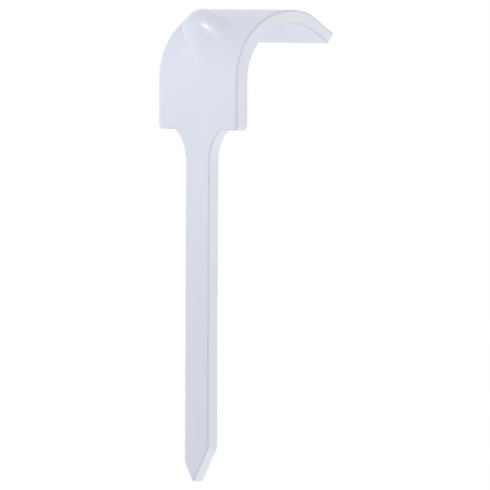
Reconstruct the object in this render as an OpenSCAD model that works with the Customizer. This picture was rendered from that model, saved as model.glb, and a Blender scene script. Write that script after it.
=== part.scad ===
// Nail in cable clip: a strap that hooks over a cable, on a flat nail that is driven into wood.
// One injection moulding. The nail points down, the hook opens towards +X and the cable runs along Y.
// The origin is in the middle of the nail, level with the shoulders that seat on the surface.

/* [Cable saddle] */
// Diameter of the cable that the hook holds
cable_d = 16; // [12:0.5:28]
// Height of the cable's axis above the surface that the shoulders seat on
cable_h = 7.5; // [6:0.1:14]

/* [Lip] */
// Angle past the hook's highest point at which the lip runs on straight
lip_turn = 34; // [20:1:50]
// Length of the straight lip
lip_l = 2.85; // [1.5:0.05:6]
// How much thinner the lip is than the strap
lip_thin = 0.3; // [0.2:0.05:0.5]
// Chamfer along both edges of the lip's end
lip_chamfer = 0.3; // [0.1:0.05:0.5]

/* [Strap] */
// Width of the strap, along the cable
strap_w = 19.2; // [16:0.2:30]
// Thickness of the strap
strap_t = 2.1; // [1.9:0.05:3]
// Radius of the strap's lower corners, seen flat on
corner_r = 0.7; // [0.65:0.05:1.5]

/* [Nail shank] */
// Width of the shank
shank_w = 5.8; // [4:0.1:8]
// Thickness of the shank, flush with the strap's outer face
shank_t = 1.85; // [1.4:0.05:1.9]
// Length of the shank, from the shoulders to its point
shank_l = 51.6; // [25:0.2:80]
// Radius of the flare that widens the shank towards each shoulder
flare_r = 5.6; // [5:0.1:9]
// Length of shank that the flare takes up
flare_l = 4.8; // [2:0.1:4.9]

/* [Point] */
// Angle of each bevel from the shank's axis
bevel_angle = 35.5; // [20:0.5:45]
// Distance of the point from the middle of the shank
point_off = 0.8; // [0:0.05:1.2]
// Width of the flat that blunts the point
point_flat = 0.25; // [0.15:0.05:0.8]

/* [Hammer pad] */
// Radius of the domed pad that takes the hammer, in line with the shank
pad_r = 2.85; // [2.2:0.05:4]
// Angle from upright of the taper below the dome
pad_taper = 50; // [35:1:70]
// Width of the smooth web between the pad and the strap
pad_blend = 6; // [3:0.1:8]

/* [Edges] */
// Radius of the moulded edges
edge_r = 0.3; // [0.1:0.05:0.3]

/* [Hidden] */
$fn = 96;
saddle_r = cable_d / 2;
strap_mid_r = saddle_r + strap_t / 2;
outer_r = saddle_r + strap_t;
// Outer face that the strap and the shank share, the strap's middle plane and the cable's axis
face_x = -shank_t / 2;
strap_mid_x = face_x + strap_t / 2;
saddle_x = strap_mid_x + strap_mid_r;
top_z = cable_h + outer_r;
// The lip's faces, as distances from the cable's axis. The inner one crosses the saddle at a slight angle
lip_bite = 4;
lip_in = saddle_r * cos(lip_bite);
lip_out = outer_r - lip_thin;
lip_root = saddle_r * sin(2 * lip_bite);
// Centre of the flare's round, and the part of the shoulders that the flare may take up
flare_y = shank_w / 2 + flare_r;
root_y = min(flare_y, strap_w / 2 - corner_r);
// Turn of the bevels from level, a centre as far from them as from the flat, and a reach past the shank
bevel_turn = 90 - bevel_angle;
point_r = point_flat / 2 / tan(bevel_turn / 2);
point_z = point_r - shank_l;
point_reach = shank_l + shank_w;
// The dome's middle, its turn round the cable's axis, and its root in the middle of the strap
pad_z = top_z - pad_r;
pad_turn = atan2(pad_z - cable_h, saddle_x);
pad_run = cable_h + outer_r * pad_turn * PI / 180;
pad_root = face_point(pad_run, 0, strap_t / 2);
// The web ends where it stands this far out of the strap, and its edge is tucked in below the face
web_step = 0.05;
web_tuck = 0.4;
web_gap = pad_blend * (1 - pow(6 * web_step / pad_blend, 1 / 3));
web_rings = 16;
web_sides = 48;
halvings = 24;
// How far a cutter stands out past what it cuts
clear = 0.5;

// Half of a plate's section, out from its middle to an edge that is rounded on both faces
module half_section(reach, thick) {
    translate([0, -thick / 2]) square([reach - edge_r, thick]);
    translate([0, edge_r - thick / 2]) square([reach, thick - 2 * edge_r]);
    for (face = [-1, 1]) intersection() {
        translate([reach - edge_r, face * (thick / 2 - edge_r)]) circle(edge_r);
        translate([0, -thick / 2]) square([reach, thick]);
    }
}

// Whole section of a plate, its thickness along X and its width along Y
module section(width, thick) {
    for (side = [90, -90]) rotate(side) half_section(width / 2, thick);
}

// Lower end of the strap's wall, rounded at its edges and at both corners
module strap_foot() {
    rotate([0, 90, 90])
        linear_extrude(strap_w - 2 * corner_r, center = true) half_section(corner_r, strap_t);
    for (side = [0, 1]) mirror([0, side, 0])
        translate([0, strap_w / 2 - corner_r, 0]) rotate([0, 90, 0])
            rotate_extrude(angle = 90) half_section(corner_r, strap_t);
}

// Bend of the strap's section over the cable, up to the lip
module bend() {
    rotate([90, 0, 180])
        rotate_extrude(angle = 90 + lip_turn) translate([strap_mid_r, 0]) section(strap_w, strap_t);
}

// Straight run on from the bend, with its inner edges rounded
module lip_run() {
    translate([-lip_root, 0, lip_out + clear]) rotate([0, 90, 0])
        linear_extrude(lip_root + lip_l + clear) half_section(lip_out + clear - lip_in, strap_w);
}

// Plate that ends in the lip's outer face and end, with its outer edges rounded
module lip_plate() {
    reach = 2 * outer_r;
    translate([lip_l, 0, 0]) rotate([0, -90, 0])
        linear_extrude(lip_l + reach) translate([-reach, 0]) half_section(reach + lip_out, strap_w);
}

// Bar that breaks one edge of the lip's end at 45 degrees
module lip_edge() {
    side = lip_chamfer * sqrt(2);
    rotate([0, 45, 0]) cube([side, strap_w + 2 * clear, side], center = true);
}

// Hook: the bend, run on into a thinner straight lip that is cut off square
module hook() {
    difference() {
        intersection() {
            union() {
                bend();
                rotate([0, lip_turn, 0]) lip_run();
            }
            rotate([0, lip_turn, 0]) lip_plate();
        }
        rotate([0, lip_turn, 0])
            for (edge = [lip_in, lip_out]) translate([lip_l, 0, edge]) lip_edge();
    }
}

// Strap: an upright wall over the shoulders that runs on into the hook
module strap() {
    translate([strap_mid_x, 0, corner_r]) {
        strap_foot();
        linear_extrude(cable_h - corner_r) section(strap_w, strap_t);
    }
    translate([saddle_x, 0, cable_h]) hook();
}

// Section of the round that hollows the flare, opened out at both faces to round its edges
module flare_cut() {
    translate([0, -shank_t / 2 - clear]) square([flare_r, shank_t + 2 * clear]);
    for (face = [0, 1]) mirror([0, face]) translate([flare_r, shank_t / 2 - edge_r]) difference() {
        square([edge_r, edge_r + clear]);
        translate([edge_r, 0]) circle(edge_r);
    }
}

// Flare from the shank out to the shoulders, set into the strap's lower edge
module flare() {
    difference() {
        translate([face_x, -root_y, -flare_l]) cube([shank_t, 2 * root_y, flare_l + corner_r]);
        for (side = [-1, 1]) translate([0, side * flare_y, -flare_l])
            rotate([0, 90, 0]) rotate_extrude() flare_cut();
    }
}

// Plate that ends in one face of the point, with that face's edges rounded
module point_plate() {
    rotate([0, 90, 90]) linear_extrude(2 * point_reach, center = true)
        translate([-point_reach, 0]) half_section(point_reach + point_r, shank_t);
}

// Shank with its off centre point, bevelled on both sides and blunted
module shank() {
    intersection() {
        translate([0, 0, -shank_l - clear]) linear_extrude(shank_l + clear) section(shank_w, shank_t);
        translate([0, point_off, point_z])
            intersection_for(side = [-1, 0, 1]) rotate([side * bevel_turn, 0, 0]) point_plate();
    }
}

// Point under the strap's outer face, at a run up the wall from the shoulders and on round the bend
function face_point(run, y, depth = 0) =
    run < cable_h ? [face_x + depth, y, run]
    : let (turn = (run - cable_h) / outer_r * 180 / PI, r = outer_r - depth)
        [saddle_x - r * cos(turn), y, cable_h + r * sin(turn)];

// Distance of a point out from the strap's outer face
function off_strap(p) = p.z < cable_h ? face_x - p.x : norm([p.x - saddle_x, p.z - cable_h]) - outer_r;

// Distance of a point out from the pad's own form, a dome over a cone that touches it all round
function off_pad(p) =
    let (across = norm([p.x, p.y]), up = p.z - pad_z)
    across * sin(pad_taper) + up * cos(pad_taper) < 0
        ? across * cos(pad_taper) - up * sin(pad_taper) - pad_r
        : norm([across, up]) - pad_r;

// Distance of a point out from the strap and the pad with a smooth web between them
function off_skin(p) =
    let (strap_gap = off_strap(p), pad_gap = off_pad(p))
    let (near = max(1 - abs(strap_gap - pad_gap) / pad_blend, 0))
    min(strap_gap, pad_gap) - pow(near, 3) * pad_blend / 6;

// Distance from the pad's root at which a ray comes out of the skin, found by halving
function skin_reach(ray, near, far, count = halvings) =
    let (middle = (near + far) / 2)
    count == 0 ? middle
    : off_skin(pad_root + middle * ray) < 0 ? skin_reach(ray, middle, far, count - 1)
    : skin_reach(ray, near, middle, count - 1);

// Point of the skin over a point of the face
function skin_point(p) =
    let (gap = norm(p - pad_root), ray = (p - pad_root) / gap)
    pad_root + skin_reach(ray, gap, gap + 3 * pad_r) * ray;

// Distance that the web runs over the face from the pad's middle, found by halving
function web_reach(turn, near = 0, far = 4 * (pad_r + pad_blend), count = halvings) =
    let (middle = (near + far) / 2)
    count == 0 ? middle
    : off_pad(web_point(turn, middle)) < web_gap ? web_reach(turn, middle, far, count - 1)
    : web_reach(turn, near, middle, count - 1);

// Point under the face, in a direction from the pad's middle
function web_point(turn, reach, depth = 0) = face_point(pad_run + reach * cos(turn), reach * sin(turn), depth);

// Hammer pad over the shank: rings of points, closest at its peak, out over the web and closed at its root
module pad() {
    turns = [for (side = [0:web_sides - 1]) side * 360 / web_sides];
    reaches = [for (turn = turns) web_reach(turn)];
    rings = [for (ring = [1:web_rings], side = [0:web_sides - 1])
        skin_point(web_point(turns[side], reaches[side] * pow(ring / web_rings, 2)))];
    edge = [for (side = [0:web_sides - 1]) web_point(turns[side], reaches[side], web_tuck)];
    points = concat([skin_point(face_point(pad_run, 0))], rings, edge, [pad_root]);
    root = len(points) - 1;
    peak_faces = [for (side = [0:web_sides - 1]) [0, (side + 1) % web_sides + 1, side + 1]];
    ring_faces = [for (ring = [0:web_rings - 1], side = [0:web_sides - 1])
        let (a = ring * web_sides + side + 1, b = ring * web_sides + (side + 1) % web_sides + 1)
        each [[a, b, b + web_sides], [a, b + web_sides, a + web_sides]]];
    last = web_rings * web_sides + 1;
    root_faces = [for (side = [0:web_sides - 1]) [last + side, last + (side + 1) % web_sides, root]];
    polyhedron(points, concat(peak_faces, ring_faces, root_faces));
}

module clip() {
    color([0.86, 0.89, 0.94]) union() {
        strap();
        flare();
        shank();
        pad();
    }
}

clip();
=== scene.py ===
"""Nail in cable clip: one milky plastic moulding, standing on its point in soft studio light."""

import math

import bpy
import numpy as np
import openvdb
from mathutils import Matrix, Vector


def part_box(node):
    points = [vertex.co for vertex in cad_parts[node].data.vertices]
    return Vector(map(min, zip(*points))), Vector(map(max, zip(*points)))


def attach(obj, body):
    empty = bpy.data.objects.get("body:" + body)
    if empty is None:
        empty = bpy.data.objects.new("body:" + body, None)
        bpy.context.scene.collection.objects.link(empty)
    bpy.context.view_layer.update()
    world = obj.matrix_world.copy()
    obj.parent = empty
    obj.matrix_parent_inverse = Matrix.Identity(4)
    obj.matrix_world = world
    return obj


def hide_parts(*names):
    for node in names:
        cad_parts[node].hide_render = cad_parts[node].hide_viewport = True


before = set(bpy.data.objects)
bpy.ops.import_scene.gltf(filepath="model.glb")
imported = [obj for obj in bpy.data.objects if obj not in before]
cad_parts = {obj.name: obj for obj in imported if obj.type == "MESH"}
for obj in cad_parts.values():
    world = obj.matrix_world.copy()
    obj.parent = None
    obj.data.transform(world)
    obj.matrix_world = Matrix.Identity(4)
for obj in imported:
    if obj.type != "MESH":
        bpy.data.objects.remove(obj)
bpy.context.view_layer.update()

PER_METRE = 1000
MM = 1 / PER_METRE
cad_low, cad_high = (np.array(corner) * PER_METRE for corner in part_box("clip"))

# Sizes in millimetres. The outermost ones come from the CAD node's box

# Strap and the saddle that it bends round
STRAP_W = 2 * cad_high[1]
STRAP_T = 2.1
CORNER_R = 0.7
SADDLE_R = 8.0
SADDLE_Z = 7.5

# Lip at the strap's free end
LIP_TURN = math.radians(34)
LIP_T = 1.8
LIP_L = 2.78
LIP_CORNER_R = 0.5

# Nail shank, its flare under the shoulders and its point
SHANK_W = 5.8
SHANK_T = 1.85
SHANK_L = -cad_low[2]
FLARE_R = 5.6
FLARE_L = 4.8
BEVEL = math.radians(35.5)
POINT_OFF = 0.8
POINT_R = 0.25

# Hammer pad, the web that joins it to the strap, and the polish that fades as the web lifts off the dome
PAD_R = 2.83
PAD_TAPER = math.radians(50)
PAD_BLEND = 6.0
POLISH_LIFT = 0.2
POLISH_FADE = 0.5

# Moulded edges, the seam between shank and strap, and how far from the pad the painted shade on an edge
# begins
EDGE_R = 0.3
SEAM_R = 0.25
EDGE_SHADE_OFF_PAD = 1.5

# Places worked out from the sizes
FACE_X = -SHANK_T / 2
STRAP_MID_X = FACE_X + STRAP_T / 2
STRAP_MID_R = SADDLE_R + STRAP_T / 2
SADDLE_X = STRAP_MID_X + STRAP_MID_R
TOP_Z = SADDLE_Z + SADDLE_R + STRAP_T
STRAP_L = SADDLE_Z + STRAP_MID_R * (math.pi / 2 + LIP_TURN) + LIP_L
ROOT_Y = SHANK_W / 2 + FLARE_R
PAD_Z = TOP_Z - PAD_R

# Mesh grid, the rounds that settle its points, and the steps over which slopes and turns are measured
GRID_STEP = 0.17
GRID_BAND = 4
SETTLE_ROUNDS = 4
LEAST_STEEP = 0.25
SLOPE_STEP = 0.01
TURN_STEP = 0.1

# Photo's view. The point that it aims at is given along the view's own right and up
AZIMUTH = math.radians(-36.76)
ELEVATION = math.radians(1.74)
ROLL = math.radians(0.24)
DISTANCE = 1.3
AIM_RIGHT = 6.331 * MM
AIM_UP = -16.861 * MM
PIXELS_PER_METRE = 6831
FRAME_PIXELS = 490
SENSOR = 36
FAR_CLIP = 10

LEVEL = math.cos(ELEVATION)
BACK = Vector((math.sin(AZIMUTH) * LEVEL, -math.cos(AZIMUTH) * LEVEL, math.sin(ELEVATION)))
RIGHT = Vector((math.cos(AZIMUTH), math.sin(AZIMUTH), 0))
UP = BACK.cross(RIGHT)
AIM = AIM_RIGHT * RIGHT + AIM_UP * UP

# Plastic: flow lines along the moulding, painted shade that darkens the moulded edges, gloss, light under
# the skin, fine grain
TONE_DARK = (0.725, 0.77, 0.865, 1)
TONE_LIGHT = (0.775, 0.81, 0.89, 1)
FLOW_SCALE = 140
FLOW_DETAIL = 3
FLOW_STRETCH = (1, 1, 0.16)
# Painted shade on the moulded edges: the colour multiplied in there, and how the edge value is stretched
# before it
EDGE_SHADE_TONE = (0.82, 0.85, 0.88, 1)
EDGE_SHADE_FROM = -0.6
EDGE_SHADE_TO = 1.0
GLOSS_SCALE = 420
GLOSS_DETAIL = 4
ROUGH_LEAST = 0.45
ROUGH_MOST = 0.55
ROUGH_POLISHED = 0.28
UNDER_SKIN = 0.25
UNDER_SKIN_REACH = (1.0, 1.0, 1.1)
UNDER_SKIN_SCALE = 1.2 * MM
PLASTIC_IOR = 1.49
GRAIN_SCALE = 900
GRAIN_DETAIL = 3
GRAIN_STRENGTH = 0.12
GRAIN_DEPTH = 0.04 * MM

# Paper of the stage: its own glow makes it near white to the camera, and the rest takes the shadow
PAPER_TONE = (0.86, 0.86, 0.86, 1)
PAPER_ROUGH = 0.9
PAPER_SHINE = 0.1
GLOW = 1.04
GLOW_MIRRORED = 0.95
GLOW_SHARE = 0.8
GLOW_SHARE_SEEN = 0.93
FLOOR_R = 1.2
FLOOR_SIDES = 96
WALL_BEHIND = 0.5
WALL_HALF_W = 1.5
WALL_BEND_R = 0.3
WALL_H = 1.2
WALL_STEPS = 24

# World's light by height, dark between the sides and overhead, and what mirrors and the camera see
SIDE_LIGHT = (0.78, 0.76, 0.73, 1)
OVERHEAD_LIGHT = (0.66, 0.66, 0.68, 1)
OVERHEAD_AT = 0.85
DARK_FROM_TO = (0.3, 0.6)
BLACK = (0, 0, 0, 1)
WHITE = (1, 1, 1, 1)
MIRRORED_WORLD = (0.72, 0.74, 0.78, 1)

# Sockets of a colour Mix node, by number because their names repeat
MIX_FACTOR = 0
MIX_FIRST = 6
MIX_SECOND = 7
MIX_RESULT = 2


# Distance fields in millimetres, negative inside

def both(a, b, radius):
    """Field of where a and b are both negative, with the edge between them rounded."""
    a = a + radius
    b = b + radius
    return np.minimum(np.maximum(a, b), 0) + np.hypot(np.maximum(a, 0), np.maximum(b, 0)) - radius


def joined(a, b, width):
    """Union of two fields with a smooth web of that width between them."""
    near = np.maximum(width - np.abs(a - b), 0) / width
    return np.minimum(a, b) - near ** 3 * width / 6


def unrolled(x, z):
    """Run along the strap from its foot, depth from its middle surface towards the cable,
    and height over the lip's outer plane."""
    dx = x - SADDLE_X
    dz = z - SADDLE_Z
    along = dx * math.cos(LIP_TURN) - dz * math.sin(LIP_TURN)
    height = dx * math.sin(LIP_TURN) + dz * math.cos(LIP_TURN)
    wall = (dz < 0) & (along <= 0)
    lip = along > 0
    run = SADDLE_Z + STRAP_MID_R * np.arctan2(dz, -dx)
    run = np.where(wall, z, np.where(lip, STRAP_L - LIP_L + along, run))
    depth = STRAP_MID_R - np.hypot(dx, dz)
    depth = np.where(wall, x - STRAP_MID_X, np.where(lip, STRAP_MID_R - height, depth))
    return run, depth, height - SADDLE_R - LIP_T


def strap_field(x, y, z):
    """Field of the strap, and the depth from its middle surface towards the cable."""
    run, depth, over_lip = unrolled(x, z)
    corner = np.where(run < STRAP_L / 2, CORNER_R, LIP_CORNER_R)
    ends = np.abs(run - STRAP_L / 2) - STRAP_L / 2
    sides = np.abs(y) - STRAP_W / 2
    outline = both(ends, sides, corner)
    faces = np.maximum(np.abs(depth) - STRAP_T / 2, over_lip)
    return both(outline, faces, EDGE_R), depth


def shank_field(x, y, z):
    """Field of the flat shank, flared at its root and bevelled to a small round point."""
    side = np.abs(y)
    hollow = FLARE_R - np.hypot(side - ROOT_Y, z + FLARE_L)
    flare = np.maximum(hollow, side - ROOT_Y)
    edges = np.where(z > -FLARE_L, flare, side - SHANK_W / 2)
    across = np.abs(y - POINT_OFF)
    up = z + SHANK_L - POINT_R
    bevel = across * math.cos(BEVEL) - up * math.sin(BEVEL)
    beyond = across * math.sin(BEVEL) + up * math.cos(BEVEL) < 0
    point = np.where(beyond, np.hypot(across, up), bevel) - POINT_R
    outline = np.maximum(both(edges, point, EDGE_R), z - CORNER_R)
    return both(outline, np.abs(x) - SHANK_T / 2, EDGE_R)


def pad_field(x, y, z):
    """Field of the hammer pad: a dome over a cone that narrows downwards."""
    across = np.hypot(x, y)
    up = z - PAD_Z
    dome = np.hypot(across, up) - PAD_R
    cone = across * math.cos(PAD_TAPER) - up * math.sin(PAD_TAPER) - PAD_R
    below = up * math.cos(PAD_TAPER) + across * math.sin(PAD_TAPER) < 0
    return np.where(below, cone, dome)


def clip_field(x, y, z):
    """Field of the whole clip. The pad joins the strap on its outer side alone."""
    strap, depth = strap_field(x, y, z)
    padded = np.where(depth > 0, strap, joined(strap, pad_field(x, y, z), PAD_BLEND))
    return joined(padded, shank_field(x, y, z), SEAM_R)


# Mesh of the clip

def slope(points):
    """Gradient of the clip's field at the points."""
    columns = []
    for step in np.eye(3) * SLOPE_STEP:
        ahead = clip_field(*(points + step).T)
        behind = clip_field(*(points - step).T)
        columns.append((ahead - behind) / (2 * SLOPE_STEP))
    return np.stack(columns, axis=1)


def edge_shade_values(points):
    """How much painted shade darkens the surface at the points, from how sharply it turns outwards: 0 on a
    face or the pad, 1 on a moulded edge.
    """
    middle = clip_field(*points.T)
    turn = np.zeros(len(points))
    for step in np.eye(3) * TURN_STEP:
        turn += clip_field(*(points + step).T) + clip_field(*(points - step).T) - 2 * middle
    turn /= TURN_STEP ** 2
    off_pad = np.clip(pad_field(*points.T) - EDGE_SHADE_OFF_PAD, 0, 1)
    return np.clip(turn * EDGE_R, 0, 1) * off_pad


def polish_values(points):
    """How polished the surface is at the points: 1 on the pad's dome, 0 once the web has left it."""
    lift = pad_field(*points.T) - POLISH_LIFT
    return np.clip(1 - lift / POLISH_FADE, 0, 1)


def skin():
    """Points and quads of the clip's surface, with the points settled on the true field."""
    margin = GRID_BAND * GRID_STEP
    low = cad_low - margin
    high = cad_high + margin
    axes = [np.arange(start, stop, GRID_STEP) for start, stop in zip(low, high)]
    field = clip_field(*np.meshgrid(*axes, indexing="ij", sparse=True))
    grid = openvdb.FloatGrid(margin)
    grid.copyFromArray(np.clip(field, -margin, margin).astype(np.float32))
    points, _, quads = grid.convertToPolygons(0.0, 0.0)
    points = points.astype(float) * GRID_STEP + low
    for _ in range(SETTLE_ROUNDS):
        gradient = slope(points)
        steep = np.maximum((gradient ** 2).sum(axis=1), LEAST_STEEP)
        points -= gradient * (clip_field(*points.T) / steep)[:, None]
    return points, quads


def clip_mesh():
    """Fine mesh of the clip, shaded by the field's gradient, with the two values that the plastic reads:
    the painted shade on its edges and the crown's polish.
    """
    points, quads = skin()
    normals = slope(points)
    normals /= np.linalg.norm(normals, axis=1)[:, None]
    mesh = bpy.data.meshes.new("clip_skin")
    mesh.from_pydata(points * MM, [], quads.tolist())
    mesh.shade_smooth()
    mesh.normals_split_custom_set_from_vertices(normals.tolist())
    # The edge value carries the painted shade for the moulded edges; the crown value carries the pad's
    # polish
    for name, values in (("edge", edge_shade_values(points)), ("crown", polish_values(points))):
        mesh.attributes.new(name, "FLOAT", "POINT").data.foreach_set("value", values)
    return mesh


# Shader nodes

def feed(tree, socket, source):
    """Link the socket to another one, or set it to a plain value."""
    if isinstance(source, bpy.types.NodeSocket):
        tree.links.new(source, socket)
    else:
        socket.default_value = source


def spread(tree, factor, low, high):
    """Number that runs from low to high as the factor runs from 0 to 1."""
    node = tree.nodes.new("ShaderNodeMapRange")
    feed(tree, node.inputs["Value"], factor)
    feed(tree, node.inputs["To Min"], low)
    feed(tree, node.inputs["To Max"], high)
    return node.outputs["Result"]


def mixed(tree, factor, first, second, blend="MIX"):
    """Colour that runs from the first to the second as the factor runs from 0 to 1."""
    node = tree.nodes.new("ShaderNodeMix")
    node.data_type = "RGBA"
    node.blend_type = blend
    feed(tree, node.inputs[MIX_FACTOR], factor)
    feed(tree, node.inputs[MIX_FIRST], first)
    feed(tree, node.inputs[MIX_SECOND], second)
    return node.outputs[MIX_RESULT]


def noise(tree, scale, detail, stretch=(1, 1, 1)):
    """Noise fixed to the object."""
    place = tree.nodes.new("ShaderNodeTexCoord")
    mapping = tree.nodes.new("ShaderNodeMapping")
    mapping.inputs["Scale"].default_value = stretch
    tree.links.new(place.outputs["Object"], mapping.inputs["Vector"])
    texture = tree.nodes.new("ShaderNodeTexNoise")
    texture.inputs["Scale"].default_value = scale
    texture.inputs["Detail"].default_value = detail
    tree.links.new(mapping.outputs["Vector"], texture.inputs["Vector"])
    return texture.outputs["Fac"]


def point_value(tree, name):
    """Value that the mesh holds at its points."""
    node = tree.nodes.new("ShaderNodeAttribute")
    node.attribute_name = name
    return node.outputs["Fac"]


def new_material(name):
    """Material, its node tree and its main shader."""
    material = bpy.data.materials.new(name)
    material.use_nodes = True
    return material, material.node_tree, material.node_tree.nodes["Principled BSDF"]


# Materials

def plastic():
    """Milky plastic with painted shade on its moulded edges: a little light passes under the skin, and the
    moulded gloss varies slightly.
    """
    material, tree, shader = new_material("milky_plastic")
    flow = mixed(tree, noise(tree, FLOW_SCALE, FLOW_DETAIL, FLOW_STRETCH), TONE_DARK, TONE_LIGHT)
    # Painted shade: the moulded edges are darkened by multiplying in the edge tone
    painted_edge_shade = spread(tree, point_value(tree, "edge"), EDGE_SHADE_FROM, EDGE_SHADE_TO)
    tree.links.new(mixed(tree, painted_edge_shade, flow, EDGE_SHADE_TONE, "MULTIPLY"), shader.inputs["Base Color"])
    moulded = spread(tree, noise(tree, GLOSS_SCALE, GLOSS_DETAIL), ROUGH_LEAST, ROUGH_MOST)
    roughness = spread(tree, point_value(tree, "crown"), moulded, ROUGH_POLISHED)
    tree.links.new(roughness, shader.inputs["Roughness"])
    shader.inputs["Subsurface Weight"].default_value = UNDER_SKIN
    shader.inputs["Subsurface Radius"].default_value = UNDER_SKIN_REACH
    shader.inputs["Subsurface Scale"].default_value = UNDER_SKIN_SCALE
    shader.inputs["IOR"].default_value = PLASTIC_IOR
    bump = tree.nodes.new("ShaderNodeBump")
    bump.inputs["Strength"].default_value = GRAIN_STRENGTH
    bump.inputs["Distance"].default_value = GRAIN_DEPTH
    tree.links.new(noise(tree, GRAIN_SCALE, GRAIN_DETAIL), bump.inputs["Height"])
    tree.links.new(bump.outputs["Normal"], shader.inputs["Normal"])
    return material


def floor_paper():
    """Pale paper, near white to the camera and still darkened by the shadow."""
    material, tree, shader = new_material("floor_paper")
    shader.inputs["Base Color"].default_value = PAPER_TONE
    shader.inputs["Roughness"].default_value = PAPER_ROUGH
    shader.inputs["Specular IOR Level"].default_value = PAPER_SHINE
    rays = tree.nodes.new("ShaderNodeLightPath")
    glow = tree.nodes.new("ShaderNodeEmission")
    glow.inputs["Color"].default_value = WHITE
    strength = spread(tree, rays.outputs["Is Glossy Ray"], GLOW, GLOW_MIRRORED)
    tree.links.new(strength, glow.inputs["Strength"])
    share = spread(tree, rays.outputs["Is Camera Ray"], GLOW_SHARE, GLOW_SHARE_SEEN)
    mix = tree.nodes.new("ShaderNodeMixShader")
    for socket, source in zip(mix.inputs, (share, shader.outputs[0], glow.outputs[0])):
        tree.links.new(source, socket)
    tree.links.new(mix.outputs[0], tree.nodes["Material Output"].inputs["Surface"])
    return material


# The clip

clip = bpy.data.objects.new("clip_moulding", clip_mesh())
bpy.context.scene.collection.objects.link(clip)
clip.data.materials.append(plastic())
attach(clip, "root")
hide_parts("clip")


# Pale floor under the point, and a curved paper behind the clip that only gives light

def paper_floor():
    """Round flat sheet."""
    turns = [2 * math.pi * side / FLOOR_SIDES for side in range(FLOOR_SIDES)]
    rim = [(FLOOR_R * math.cos(turn), FLOOR_R * math.sin(turn), 0) for turn in turns]
    mesh = bpy.data.meshes.new("paper_floor")
    mesh.from_pydata(rim, [], [range(FLOOR_SIDES)])
    return mesh


def paper_wall():
    """Sheet that bends up from the floor behind the clip."""
    run = []
    for step in range(WALL_STEPS + 1):
        turn = math.pi / 2 * step / WALL_STEPS
        run.append((WALL_BEHIND + WALL_BEND_R * math.sin(turn), WALL_BEND_R * (1 - math.cos(turn))))
    run.append((WALL_BEHIND + WALL_BEND_R, WALL_H))
    points = [(side * WALL_HALF_W, back, up) for back, up in run for side in (-1, 1)]
    faces = [(2 * i, 2 * i + 1, 2 * i + 3, 2 * i + 2) for i in range(len(run) - 1)]
    mesh = bpy.data.meshes.new("paper_wall")
    mesh.from_pydata(points, [], faces)
    mesh.shade_smooth()
    return mesh


def lay(mesh, material, seen):
    """Set a sheet at the height of the clip's point, square to the photo's view."""
    sheet = bpy.data.objects.new(mesh.name, mesh)
    sheet.location.z = cad_low[2] * MM
    sheet.rotation_euler.z = AZIMUTH
    sheet.visible_camera = seen
    sheet.data.materials.append(material)
    bpy.context.scene.collection.objects.link(sheet)


paper = floor_paper()
lay(paper_floor(), paper, seen=True)
lay(paper_wall(), paper, seen=False)


# Light

def area_light(name, direction, distance, size, watts, colour=(1, 1, 1), roll=0.0, mirrored=False):
    """Lamp that faces the clip from a direction in the camera's terms: right, up, towards the camera.
    A mirrored lamp shows in the gloss alone, and the others give all the rest of the light."""
    data = bpy.data.lights.new(name, "AREA")
    data.shape = "RECTANGLE"
    data.size = size[0]
    data.size_y = size[1]
    data.energy = watts
    data.color = colour
    lamp = bpy.data.objects.new(name, data)
    lamp.visible_glossy = mirrored
    lamp.visible_diffuse = not mirrored
    axis = (direction[0] * RIGHT + direction[1] * UP + direction[2] * BACK).normalized()
    turn = axis.to_track_quat("Z", "Y").to_matrix() @ Matrix.Rotation(roll, 3, "Z")
    lamp.matrix_world = Matrix.Translation(AIM + axis * distance) @ turn.to_4x4()
    bpy.context.scene.collection.objects.link(lamp)


area_light("key_box", (-0.92, 0.85, 0.42), distance=0.12, size=(0.08, 0.08), watts=0.042)
area_light("right_box", (0.9, 0.45, 0.4), distance=0.4, size=(0.2, 0.2), watts=0.55,
           colour=(1.0, 0.89, 0.76))
area_light("back_box", (0.0, 0.6, -0.8), distance=0.4, size=(0.3, 0.3), watts=0.3)
area_light("front_box", (-0.2, 0.1, 1.0), distance=0.6, size=(0.3, 0.3), watts=0.42,
           colour=(0.84, 0.93, 1.0))
area_light("front_strip", (0.08, 0.44, 0.9), distance=0.5, size=(0.26, 0.05), watts=1.2,
           roll=math.radians(-42), mirrored=True)


def studio_world():
    """White all round for the camera. The light it gives comes from the sides, and less from overhead."""
    world = bpy.data.worlds.new("studio")
    world.use_nodes = True
    tree = world.node_tree
    place = tree.nodes.new("ShaderNodeTexCoord")
    split = tree.nodes.new("ShaderNodeSeparateXYZ")
    tree.links.new(place.outputs["Generated"], split.inputs[0])
    light = tree.nodes.new("ShaderNodeValToRGB")
    stops = light.color_ramp.elements
    stops[0].position = 0.0
    stops[0].color = SIDE_LIGHT
    stops[1].position = OVERHEAD_AT
    stops[1].color = OVERHEAD_LIGHT
    for position in DARK_FROM_TO:
        stops.new(position).color = BLACK
    tree.links.new(split.outputs["Z"], light.inputs["Fac"])
    rays = tree.nodes.new("ShaderNodeLightPath")
    mirrored = mixed(tree, rays.outputs["Is Glossy Ray"], light.outputs["Color"], MIRRORED_WORLD)
    seen = mixed(tree, rays.outputs["Is Camera Ray"], mirrored, WHITE)
    tree.links.new(seen, tree.nodes["Background"].inputs["Color"])
    return world


bpy.context.scene.world = studio_world()


# Camera at the photo's place

camera = bpy.data.objects.new("camera", bpy.data.cameras.new("camera"))
bpy.context.scene.collection.objects.link(camera)
camera.data.sensor_width = SENSOR
camera.data.lens = PIXELS_PER_METRE * DISTANCE * SENSOR / FRAME_PIXELS
camera.data.clip_end = FAR_CLIP
tilted_right = math.cos(ROLL) * RIGHT + math.sin(ROLL) * UP
tilted_up = BACK.cross(tilted_right)
camera_turn = Matrix((tilted_right, tilted_up, BACK)).transposed().to_4x4()
camera.matrix_world = Matrix.Translation(AIM + DISTANCE * BACK) @ camera_turn
bpy.context.scene.camera = camera
bpy.context.scene.view_settings.view_transform = "Standard"
